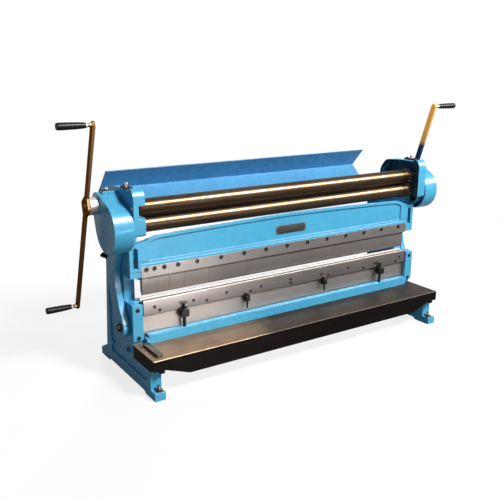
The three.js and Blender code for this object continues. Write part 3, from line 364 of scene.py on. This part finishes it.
for name, made in nodes.items():
    stem = name.removesuffix("_left").removesuffix("_right")
    if stem.startswith("finger_") and stem not in ("finger_beam", "finger_clamp_strip"):
        look = finger_steel
    else:
        look = {
            "side_frame": paint, "roll_housing": housing_paint, "gear_cover": paint, "finger_beam": paint,
            "ram_keeper": paint, "tie_rod": paint, "hold_down_bar": paint, "link": paint,
            "back_tray": tray_painted_shade, "finger_clamp_strip": steel, "ram": steel, "bend_die": die,
            "upper_blade": blade_steel, "lower_blade": iron, "work_table": table, "squaring_guide": dark_iron,
            "lower_roll": roll, "upper_roll": roll, "rear_roll": roll, "crank_shaft": bar_steel,
            "crank_collar": bright, "crank_bar": bar_steel, "crank_arm": arm_steel, "bull_gear": iron,
            "lower_roll_gear": iron, "upper_roll_gear": iron, "upper_screw": screw_steel, "rear_screw": iron,
            "link_pin": black, "plunger": black, "cap_plate": black, "upper_block": brass,
            "rear_block": brass, "grip": grip, "grip_top": grip, "grip_bottom": grip,
        }[stem]
    made.data.materials.clear()
    made.data.materials.append(look)

# Shading of the CAD nodes

SHARP_ANGLE = math.radians(33)
FINGER_CHAMFER = 0.6


def smooth_by_angle():
    """Geometry nodes that shade faces smooth and keep edges above an angle sharp."""
    group = bpy.data.node_groups.new("smooth_by_angle", "GeometryNodeTree")
    group.interface.new_socket("Geometry", in_out="INPUT", socket_type="NodeSocketGeometry")
    group.interface.new_socket("Geometry", in_out="OUTPUT", socket_type="NodeSocketGeometry")
    source, sink = group.nodes.new("NodeGroupInput"), group.nodes.new("NodeGroupOutput")
    angle = group.nodes.new("GeometryNodeInputMeshEdgeAngle")
    sharp = group.nodes.new("FunctionNodeCompare")
    sharp.data_type, sharp.operation = "FLOAT", "GREATER_THAN"
    sharp.inputs["B"].default_value = SHARP_ANGLE
    faces = group.nodes.new("GeometryNodeSetShadeSmooth")
    edges = group.nodes.new("GeometryNodeSetShadeSmooth")
    edges.domain = "EDGE"
    edges.inputs["Shade Smooth"].default_value = False
    group.links.new(angle.outputs["Unsigned Angle"], sharp.inputs["A"])
    group.links.new(source.outputs[0], faces.inputs["Geometry"])
    group.links.new(faces.outputs["Geometry"], edges.inputs["Geometry"])
    group.links.new(sharp.outputs[0], edges.inputs["Selection"])
    group.links.new(edges.outputs["Geometry"], sink.inputs[0])
    return group


smoothing = smooth_by_angle()
for made in nodes.values():
    if "custom_normal" in made.data.attributes:
        made.data.attributes.remove(made.data.attributes["custom_normal"])
    weld = made.modifiers.new("weld", "WELD")
    weld.merge_threshold = 0.00002
    if made.name.startswith("finger_") and made.name[-1].isdigit():
        chamfer = made.modifiers.new("chamfer", "BEVEL")
        chamfer.width, chamfer.segments, chamfer.limit_method = FINGER_CHAMFER * MM, 1, "ANGLE"
    made.modifiers.new("smooth", "NODES").node_group = smoothing

# Pieces built from rings

CIRCLE, HEXAGON = "circle", "hexagon"


class Build:
    """Collects closed forms in one mesh, then makes the piece."""

    def __init__(self, around=24):
        self.bm = bmesh.new()
        self.around = around

    def rings(self, place, direction, rings):
        """rings holds (CIRCLE or HEXAGON, radius, height along direction), in order; both ends are closed."""
        out = Vector(direction).normalized()
        side = out.orthogonal().normalized()
        across = out.cross(side)
        loops = []
        for kind, radius, height in rings:
            loop = []
            for i in range(self.around):
                angle = 2 * math.pi * i / self.around
                sixth = angle % (math.pi / 3) - math.pi / 6
                reach = radius * (math.cos(math.pi / 6) / math.cos(sixth) if kind == HEXAGON else 1)
                point = out * height + side * reach * math.cos(angle) + across * reach * math.sin(angle)
                loop.append(self.bm.verts.new(place + point * MM))
            loops.append(loop)
        for low, high in zip(loops, loops[1:]):
            for i in range(self.around):
                j = (i + 1) % self.around
                self.bm.faces.new((low[i], low[j], high[j], high[i]))
        self.bm.faces.new(list(reversed(loops[0])))
        self.bm.faces.new(loops[-1])

    def slab(self, low, high):
        """A box between two corners in the row frame."""
        corners = [self.bm.verts.new((x, y, z)) for x in (low.x, high.x) for y in (low.y, high.y)
                   for z in (low.z, high.z)]
        for face in ((0, 1, 3, 2), (4, 6, 7, 5), (0, 4, 5, 1), (2, 3, 7, 6), (0, 2, 6, 4), (1, 5, 7, 3)):
            self.bm.faces.new([corners[i] for i in face])

    def piece(self, name, body, look, bevel=0.0):
        bmesh.ops.recalc_face_normals(self.bm, faces=self.bm.faces)
        mesh = bpy.data.meshes.new(name)
        self.bm.to_mesh(mesh)
        self.bm.free()
        made = bpy.data.objects.new(name, mesh)
        bpy.context.scene.collection.objects.link(made)
        mesh.materials.append(look)
        if bevel:
            rounded = made.modifiers.new("bevel", "BEVEL")
            rounded.width, rounded.segments, rounded.limit_method = bevel * MM, 2, "ANGLE"
        made.modifiers.new("smooth", "NODES").node_group = smoothing
        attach(made, body)
        return made


def cap_screw(build, place, out, radius, high, sink=0.5):
    """A socket head, standing high above place."""
    socket = 0.5 * radius
    build.rings(place, out, [
        (CIRCLE, radius, -sink), (CIRCLE, radius, high - 0.12 * radius), (CIRCLE, 0.88 * radius, high),
        (HEXAGON, socket, high), (HEXAGON, socket, high - min(0.7 * radius, high - 0.2)),
    ])


def shade_cup(build, place, out, flange=9.2, bore=6.2, deep=5.5):
    """A thin cup in a counterbore, with its flange on the face round it; in black it is the painted shade of
    the counterbore.
    """
    build.rings(place, out, [
        (CIRCLE, 6.8, -deep), (CIRCLE, 6.8, -0.2), (CIRCLE, flange, -0.2), (CIRCLE, flange, 0.4),
        (CIRCLE, flange - 0.6, 0.9), (CIRCLE, bore, 0.9), (CIRCLE, bore, 0.6 - deep)])


def hex_bolt(build, place, out, radius, high, washer=0.0):
    """A hexagon head with a chamfered top, on a washer of the given thickness."""
    rings = [(CIRCLE, 1.35 * radius, -0.4), (CIRCLE, 1.35 * radius, washer)] if washer else []
    build.rings(place, out, rings + [
        (HEXAGON, radius, washer - 0.1), (HEXAGON, radius, washer + 0.82 * high),
        (CIRCLE, 0.84 * radius, washer + high),
    ])


def stud_and_nut(build, place, out, radius, tall):
    """A washer, a nut and the threaded end of a stud."""
    nut = 1.6 * radius
    rings = [
        (CIRCLE, 2.3 * radius, -0.3), (CIRCLE, 2.3 * radius, 1.8), (HEXAGON, 1.9 * radius, 1.8),
        (HEXAGON, 1.9 * radius, 1.8 + 0.85 * nut), (CIRCLE, 1.62 * radius, 1.8 + nut),
    ]
    height, pitch = 1.8 + nut, 1.5
    while height + pitch < tall:
        rings += [(CIRCLE, 0.86 * radius, height), (CIRCLE, radius, height + pitch / 2)]
        height += pitch
    rings += [(CIRCLE, radius, tall - 0.8), (CIRCLE, 0.8 * radius, tall)]
    build.rings(place, out, rings)


FRONT, BACK, UP = (0, -1, 0), (0, 1, 0), (0, 0, 1)

# Screws of the clamp strip, in their counterbores
STRIP_SCREWS = (-655, -622, -582, -524, -442, -335, -228, -121, -14, 93, 200, 307, 414, 521, 629)
STRIP_SCREW_Z = 439
build = Build()
for x in STRIP_SCREWS:
    cap_screw(build, at(x, 187, STRIP_SCREW_Z), FRONT, 5.2, 3.6, 0.0)
build.piece("clamp_strip_screws", "frame", dark_iron)
# Black cups in the counterbores: painted shade of the counterbores round the strip's screws.
build = Build()
for x in STRIP_SCREWS:
    shade_cup(build, at(x, 180, STRIP_SCREW_Z), FRONT)
build.piece("clamp_strip_washers", "frame", black)

# Screws in the face of the bending die: two rows and four odd ones
DIE_SCREWS = (
    [(x, 292) for x in (-631, -315, 2, 322, 640)] + [(x, 287) for x in (-465, -149, 169, 484)]
    + [(x, 276) for x in (-609, -406, -201, 2, 208, 416, 617)])
build = Build()
for x, z in DIE_SCREWS:
    cap_screw(build, at(x, 172, z), FRONT, 6.6, 1.4, 0.6)
build.piece("die_screws", "ram_body", black)

# Keepers: two socket screws each, with black cups in the counterbores as painted shade
KEEPER_SCREWS = [(x, z) for x in (-701, 701) for z in (182, 292)]
build = Build()
for x, z in KEEPER_SCREWS:
    cap_screw(build, at(x, 175.7, z), FRONT, 6.8, 6.8, 0.0)
build.piece("keeper_screws", "frame", black)
# Black cups in the counterbores: painted shade of the counterbores round the keepers' screws.
build = Build()
for x, z in KEEPER_SCREWS:
    shade_cup(build, at(x, 168, z), FRONT, flange=8.8)
build.piece("keeper_washers", "frame", black)

# Bare nameplate with four rivets
build = Build()
build.slab(at(-68, 184.6, 492), at(84, 186.1, 528))
build.piece("nameplate", "frame", plate, bevel=0.5)
build = Build()
for x in (-63, 79):
    for z in (497, 523):
        build.rings(at(x, 184.6, z), FRONT, [(CIRCLE, 1.8, -0.3), (CIRCLE, 1.7, 0.3), (CIRCLE, 1.0, 0.8)])
build.piece("nameplate_rivets", "frame", bright)

# Cap plates: two screws each
for side, sign in (("left", -1), ("right", 1)):
    build = Build()
    for y in (182, 228):
        cap_screw(build, at(sign * 709, y, 751.3), UP, 4.5, 4.0)
    build.piece(f"cap_plate_screws_{side}", "frame", black)

# Gear covers: a dark lid over the cover's own raised lid, held by a bright screw
for side, sign in (("left", -1), ("right", 1)):
    build = Build()
    xs = sorted((sign * 739, sign * 781))
    build.slab(at(xs[0], 248.2, 731.6), at(xs[1], 285.2, 737.4))
    build.piece(f"cover_lid_{side}", "frame", black, bevel=1.6)
    build = Build()
    build.rings(at(sign * 760, 266.7, 737.2), UP, [
        (CIRCLE, 6.5, -0.3), (CIRCLE, 6.5, 1.4), (CIRCLE, 4.6, 1.5), (CIRCLE, 4.6, 4.4), (CIRCLE, 3.4, 5.4)])
    build.piece(f"cover_lid_screw_{side}", "frame", bright)

# Each frame: bolts on its outer side, the screw in the housing, the stop bolt beside the link, the studs
# in the foot, the screw in the beam's lug and the screws of the tray
for side, sign in (("left", -1), ("right", 1)):
    out = (sign, 0, 0)
    build = Build()
    hex_bolt(build, at(sign * 714, 388, 93), out, 9.5, 6.0, 1.8)
    hex_bolt(build, at(sign * 720, 236, 117), out, 9.0, 6.0, 1.8)
    build.piece(f"frame_bolts_{side}", "frame", paint)
    build = Build()
    build.rings(at(sign * 722, 133, 683), out, [
        (CIRCLE, 4.5, -0.3), (CIRCLE, 4.3, 1.6), (CIRCLE, 3.0, 2.6)])
    build.piece(f"housing_screw_{side}", "frame", bright)
    build = Build()
    build.rings(at(sign * 713, 349, 470), out, [
        (CIRCLE, 9, -0.3), (CIRCLE, 9, 30), (CIRCLE, 16, 30), (CIRCLE, 16, 33), (HEXAGON, 12.5, 33),
        (HEXAGON, 12.5, 42), (CIRCLE, 10.5, 44), (CIRCLE, 6, 44), (CIRCLE, 6, 50), (CIRCLE, 4.5, 51.5)])
    build.piece(f"link_stop_bolt_{side}", "frame", black)
    build = Build()
    for y, z in ((18, 30), (480, 29)):
        stud_and_nut(build, at(sign * 695, y, z), UP, 5.5, 24)
    build.piece(f"anchor_studs_{side}", "frame", dark_iron)
    build = Build()
    cap_screw(build, at(sign * 695.5, 205, 468), FRONT, 7.6, 17, 0.0)
    build.piece(f"beam_lug_screw_{side}", "frame", black)
    build = Build()
    for z in (512, 540):
        build.rings(at(sign * 692, 414.8, z), BACK, [
            (CIRCLE, 5.5, -0.3), (CIRCLE, 5.3, 1.2), (CIRCLE, 4.0, 2.6), (CIRCLE, 1.5, 3.0)])
    build.piece(f"tray_screws_{side}", "frame", bright)

# Squaring guide: two screws on top, with black discs beside it as the painted shade of tapped holes, and
# marks at the table's other end
build = Build()
for y in (38.5, 128.5):
    cap_screw(build, at(-683.5, y, 163), UP, 3.6, 4.9, 0.0)
build.piece("guide_screws", "frame", black)
build = Build()
# Painted shade: flat black discs stand for the dark insides of tapped holes.
for y in (45, 75, 105, 135):
    build.rings(at(-706, y, 156), UP, [(CIRCLE, 3.6, -0.3), (CIRCLE, 3.6, 0.25)])
for y in (66, 80, 99, 128, 139):
    build.slab(at(702, y - 1.8, 155.8), at(716, y + 1.8, 156.25))
build.piece("table_marks", "frame", black)

# Rolls: smooth, with chamfered ends and, on the front pair, three wire grooves
ROLL_RADIUS = 30
ROLL_LEFT, ROLL_RIGHT = -673.3, 676
WIRE_GROOVES = (646, 657, 668)


def wire_groove(x):
    """The rings of a hollow groove round a roll, with its middle at x."""
    return [
        (CIRCLE, ROLL_RADIUS, x - 2.1), (CIRCLE, 28.4, x - 1.7), (CIRCLE, 27.2, x - 0.7),
        (CIRCLE, 27.2, x + 0.7), (CIRCLE, 28.4, x + 1.7), (CIRCLE, ROLL_RADIUS, x + 2.1)]


for name, body, neck, grooves in (
        ("lower_roll", "lower_roll_train", 16, True), ("upper_roll", "upper_roll_train", 13, True),
        ("rear_roll", "rear_roll_body", 12, False)):
    low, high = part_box(name)
    middle = (low + high) / 2
    rings = [
        (CIRCLE, neck, low.x / MM - 9), (CIRCLE, neck, ROLL_LEFT), (CIRCLE, ROLL_RADIUS - 1, ROLL_LEFT),
        (CIRCLE, ROLL_RADIUS, ROLL_LEFT + 1)]
    for x in WIRE_GROOVES if grooves else ():
        rings += wire_groove(x)
    rings += [
        (CIRCLE, ROLL_RADIUS, ROLL_RIGHT - 1), (CIRCLE, ROLL_RADIUS - 1, ROLL_RIGHT),
        (CIRCLE, neck, ROLL_RIGHT), (CIRCLE, neck, high.x / MM - 9)]
    build = Build(96)
    build.rings(Vector((ORIGIN.x, middle.y, middle.z)), (1, 0, 0), rings)
    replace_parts(build.piece(f"{name}_smooth", body, roll), name)

# Grips: moulded, rounded at the outer end, with a bright ferrule at the inner end. The profile holds the
# radius at each share of the grip's length
GRIP_PROFILE = (
    (8.4, 0), (9.5, 0.012), (10.7, 0.12), (11.6, 0.3), (12.2, 0.5), (12.6, 0.72), (12.75, 0.9),
    (12.4, 0.955), (11.4, 0.985), (9.6, 0.999), (6.0, 1))
for name in ("grip_top_left", "grip_bottom_left", "grip_right"):
    low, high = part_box(name)
    middle, long = (low + high) / 2, (high.x - low.x) / MM
    sign = 1 if name == "grip_right" else -1
    inner = low.x if sign > 0 else high.x
    build = Build(48)
    build.rings(Vector((inner, middle.y, middle.z)), (sign, 0, 0), [
        (CIRCLE, radius, along * long) for radius, along in GRIP_PROFILE])
    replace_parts(build.piece(f"{name}_smooth", f"{name}_body", grip), name)
    build = Build()
    build.rings(Vector((inner, middle.y, middle.z)), (sign, 0, 0), [
        (CIRCLE, 6.6, -5.0), (CIRCLE, 8.2, -5.0), (CIRCLE, 9.2, -0.6), (CIRCLE, 6.6, -0.6)])
    build.piece(f"{name}_ferrule", f"{name}_body", bright)

# Floor, light and camera

FLOOR_BOUNCE, FLOOR_SEEN = (0.14, 0.14, 0.14), (0.9, 0.9, 0.9)
FLOOR_RADIUS = 60
FLOOR_HEIGHT = -0.0005  # just below the soles
AMBIENT_COLOUR, AMBIENT_STRENGTH = (0.50, 0.60, 1.0, 1.0), 0.07

# The floor keeps the shadow near the machine and turns white further away
floor_shader = Shader("pale_floor", roughness=0.9)
tree = floor_shader.tree
rays = floor_shader.node("ShaderNodeLightPath").outputs
floor_shader.colour(floor_shader.mix(rays["Is Camera Ray"], FLOOR_BOUNCE, FLOOR_SEEN))
distance = floor_shader.node("ShaderNodeVectorMath", operation="LENGTH")
floor_shader.feed(distance.inputs[0], floor_shader.coords)
away = distance.outputs["Value"]
seen = floor_shader.combine(
    "MULTIPLY", rays["Is Camera Ray"], floor_shader.ramp(away, 1.0, 3.2, 0.80, 1.0))
mirrored = floor_shader.combine("MAXIMUM", rays["Is Glossy Ray"], rays["Is Transmission Ray"])
mirrored = floor_shader.combine("MULTIPLY", mirrored, floor_shader.ramp(away, 0.9, 3.4, 0.25, 1.0))
glow = floor_shader.node("ShaderNodeEmission")
glow.inputs["Strength"].default_value = 1.0
blend = floor_shader.node("ShaderNodeMixShader")
floor_shader.feed(blend.inputs[0], floor_shader.combine("MAXIMUM", seen, mirrored))
tree.links.new(floor_shader.bsdf.outputs[0], blend.inputs[1])
tree.links.new(glow.outputs[0], blend.inputs[2])
tree.links.new(blend.outputs[0], tree.nodes["Material Output"].inputs["Surface"])
bpy.ops.mesh.primitive_circle_add(
    vertices=64, radius=FLOOR_RADIUS, fill_type="NGON", location=(0, 0, FLOOR_HEIGHT))
floor = bpy.context.object
floor.name = "floor"
floor.data.materials.append(floor_shader.material)

# The world lights with a faint blue, and shows white to the camera and in mirrors and glass
world = bpy.data.worlds.new("studio")
bpy.context.scene.world = world
world.use_nodes = True
tree = world.node_tree
ambient = tree.nodes["Background"]
ambient.inputs["Color"].default_value = AMBIENT_COLOUR
ambient.inputs["Strength"].default_value = AMBIENT_STRENGTH
white = tree.nodes.new("ShaderNodeBackground")
white.inputs["Color"].default_value = (1, 1, 1, 1)
white.inputs["Strength"].default_value = 1.0
rays = tree.nodes.new("ShaderNodeLightPath").outputs
shown = rays["Is Camera Ray"]
for ray in ("Is Glossy Ray", "Is Transmission Ray"):
    either = tree.nodes.new("ShaderNodeMath")
    either.operation = "MAXIMUM"
    tree.links.new(shown, either.inputs[0])
    tree.links.new(rays[ray], either.inputs[1])
    shown = either.outputs[0]
mixed = tree.nodes.new("ShaderNodeMixShader")
tree.links.new(shown, mixed.inputs[0])
tree.links.new(ambient.outputs[0], mixed.inputs[1])
tree.links.new(white.outputs[0], mixed.inputs[2])
tree.links.new(mixed.outputs[0], tree.nodes["World Output"].inputs["Surface"])


def area_light(name, place, target, size, energy, colour, long=None, glint=False, fill=False, spread=180):
    """A soft lamp, round or a strip of the given length; gloss alone shows a glint, and never a fill."""
    data = bpy.data.lights.new(name, "AREA")
    data.shape, data.size, data.energy, data.color = "DISK", size, energy, colour
    if long:
        data.shape, data.size, data.size_y = "RECTANGLE", long, size
    data.spread = math.radians(spread)
    lamp = bpy.data.objects.new(name, data)
    lamp.visible_diffuse, lamp.visible_glossy = not glint, not fill
    bpy.context.scene.collection.objects.link(lamp)
    lamp.location = place
    lamp.rotation_mode = "QUATERNION"
    lamp.rotation_quaternion = (Vector(target) - Vector(place)).to_track_quat("-Z", "Y")


area_light("key", (1.0, -3.6, 3.95), (0, 0, 0.5), 1.2, 346, (1.0, 0.97, 0.93))
area_light("back", (1.6, 3.6, 2.3), (0, 0, 0.5), 1.6, 160, (0.97, 0.98, 1.0), fill=True)
area_light("low", (0.03, -1.9, 0.2), (-0.62, 0.0, 0.0), 0.7, 4.2, (1.0, 0.95, 0.90), glint=True, spread=40)
area_light("strip", (1.8, -2.05, 2.5), (1.8, 0, 0.66), 0.75, 1400, (1.0, 0.96, 0.88), long=5.5, glint=True)

FOCAL_LENGTH = 48.62
CAMERA_PLACE = Vector((-1.639, -2.0098, 1.1749))
CAMERA_RIGHT, CAMERA_UP = Vector((0.8365, -0.5479, 0.0056)), Vector((0.1420, 0.2266, 0.9636))
camera_data = bpy.data.cameras.new("camera")
camera_data.sensor_fit, camera_data.sensor_width, camera_data.lens = "HORIZONTAL", 36.0, FOCAL_LENGTH
camera = bpy.data.objects.new("camera", camera_data)
bpy.context.scene.collection.objects.link(camera)
right = CAMERA_RIGHT.normalized()
back = right.cross(CAMERA_UP).normalized()
up = back.cross(right)
turn = Matrix((right, up, back)).transposed().to_4x4()
camera.matrix_world = Matrix.Translation(CAMERA_PLACE + ORIGIN) @ turn
camera_data.clip_start, camera_data.clip_end = 0.05, 200
bpy.context.scene.camera = camera
bpy.context.scene.view_settings.view_transform = "Standard"
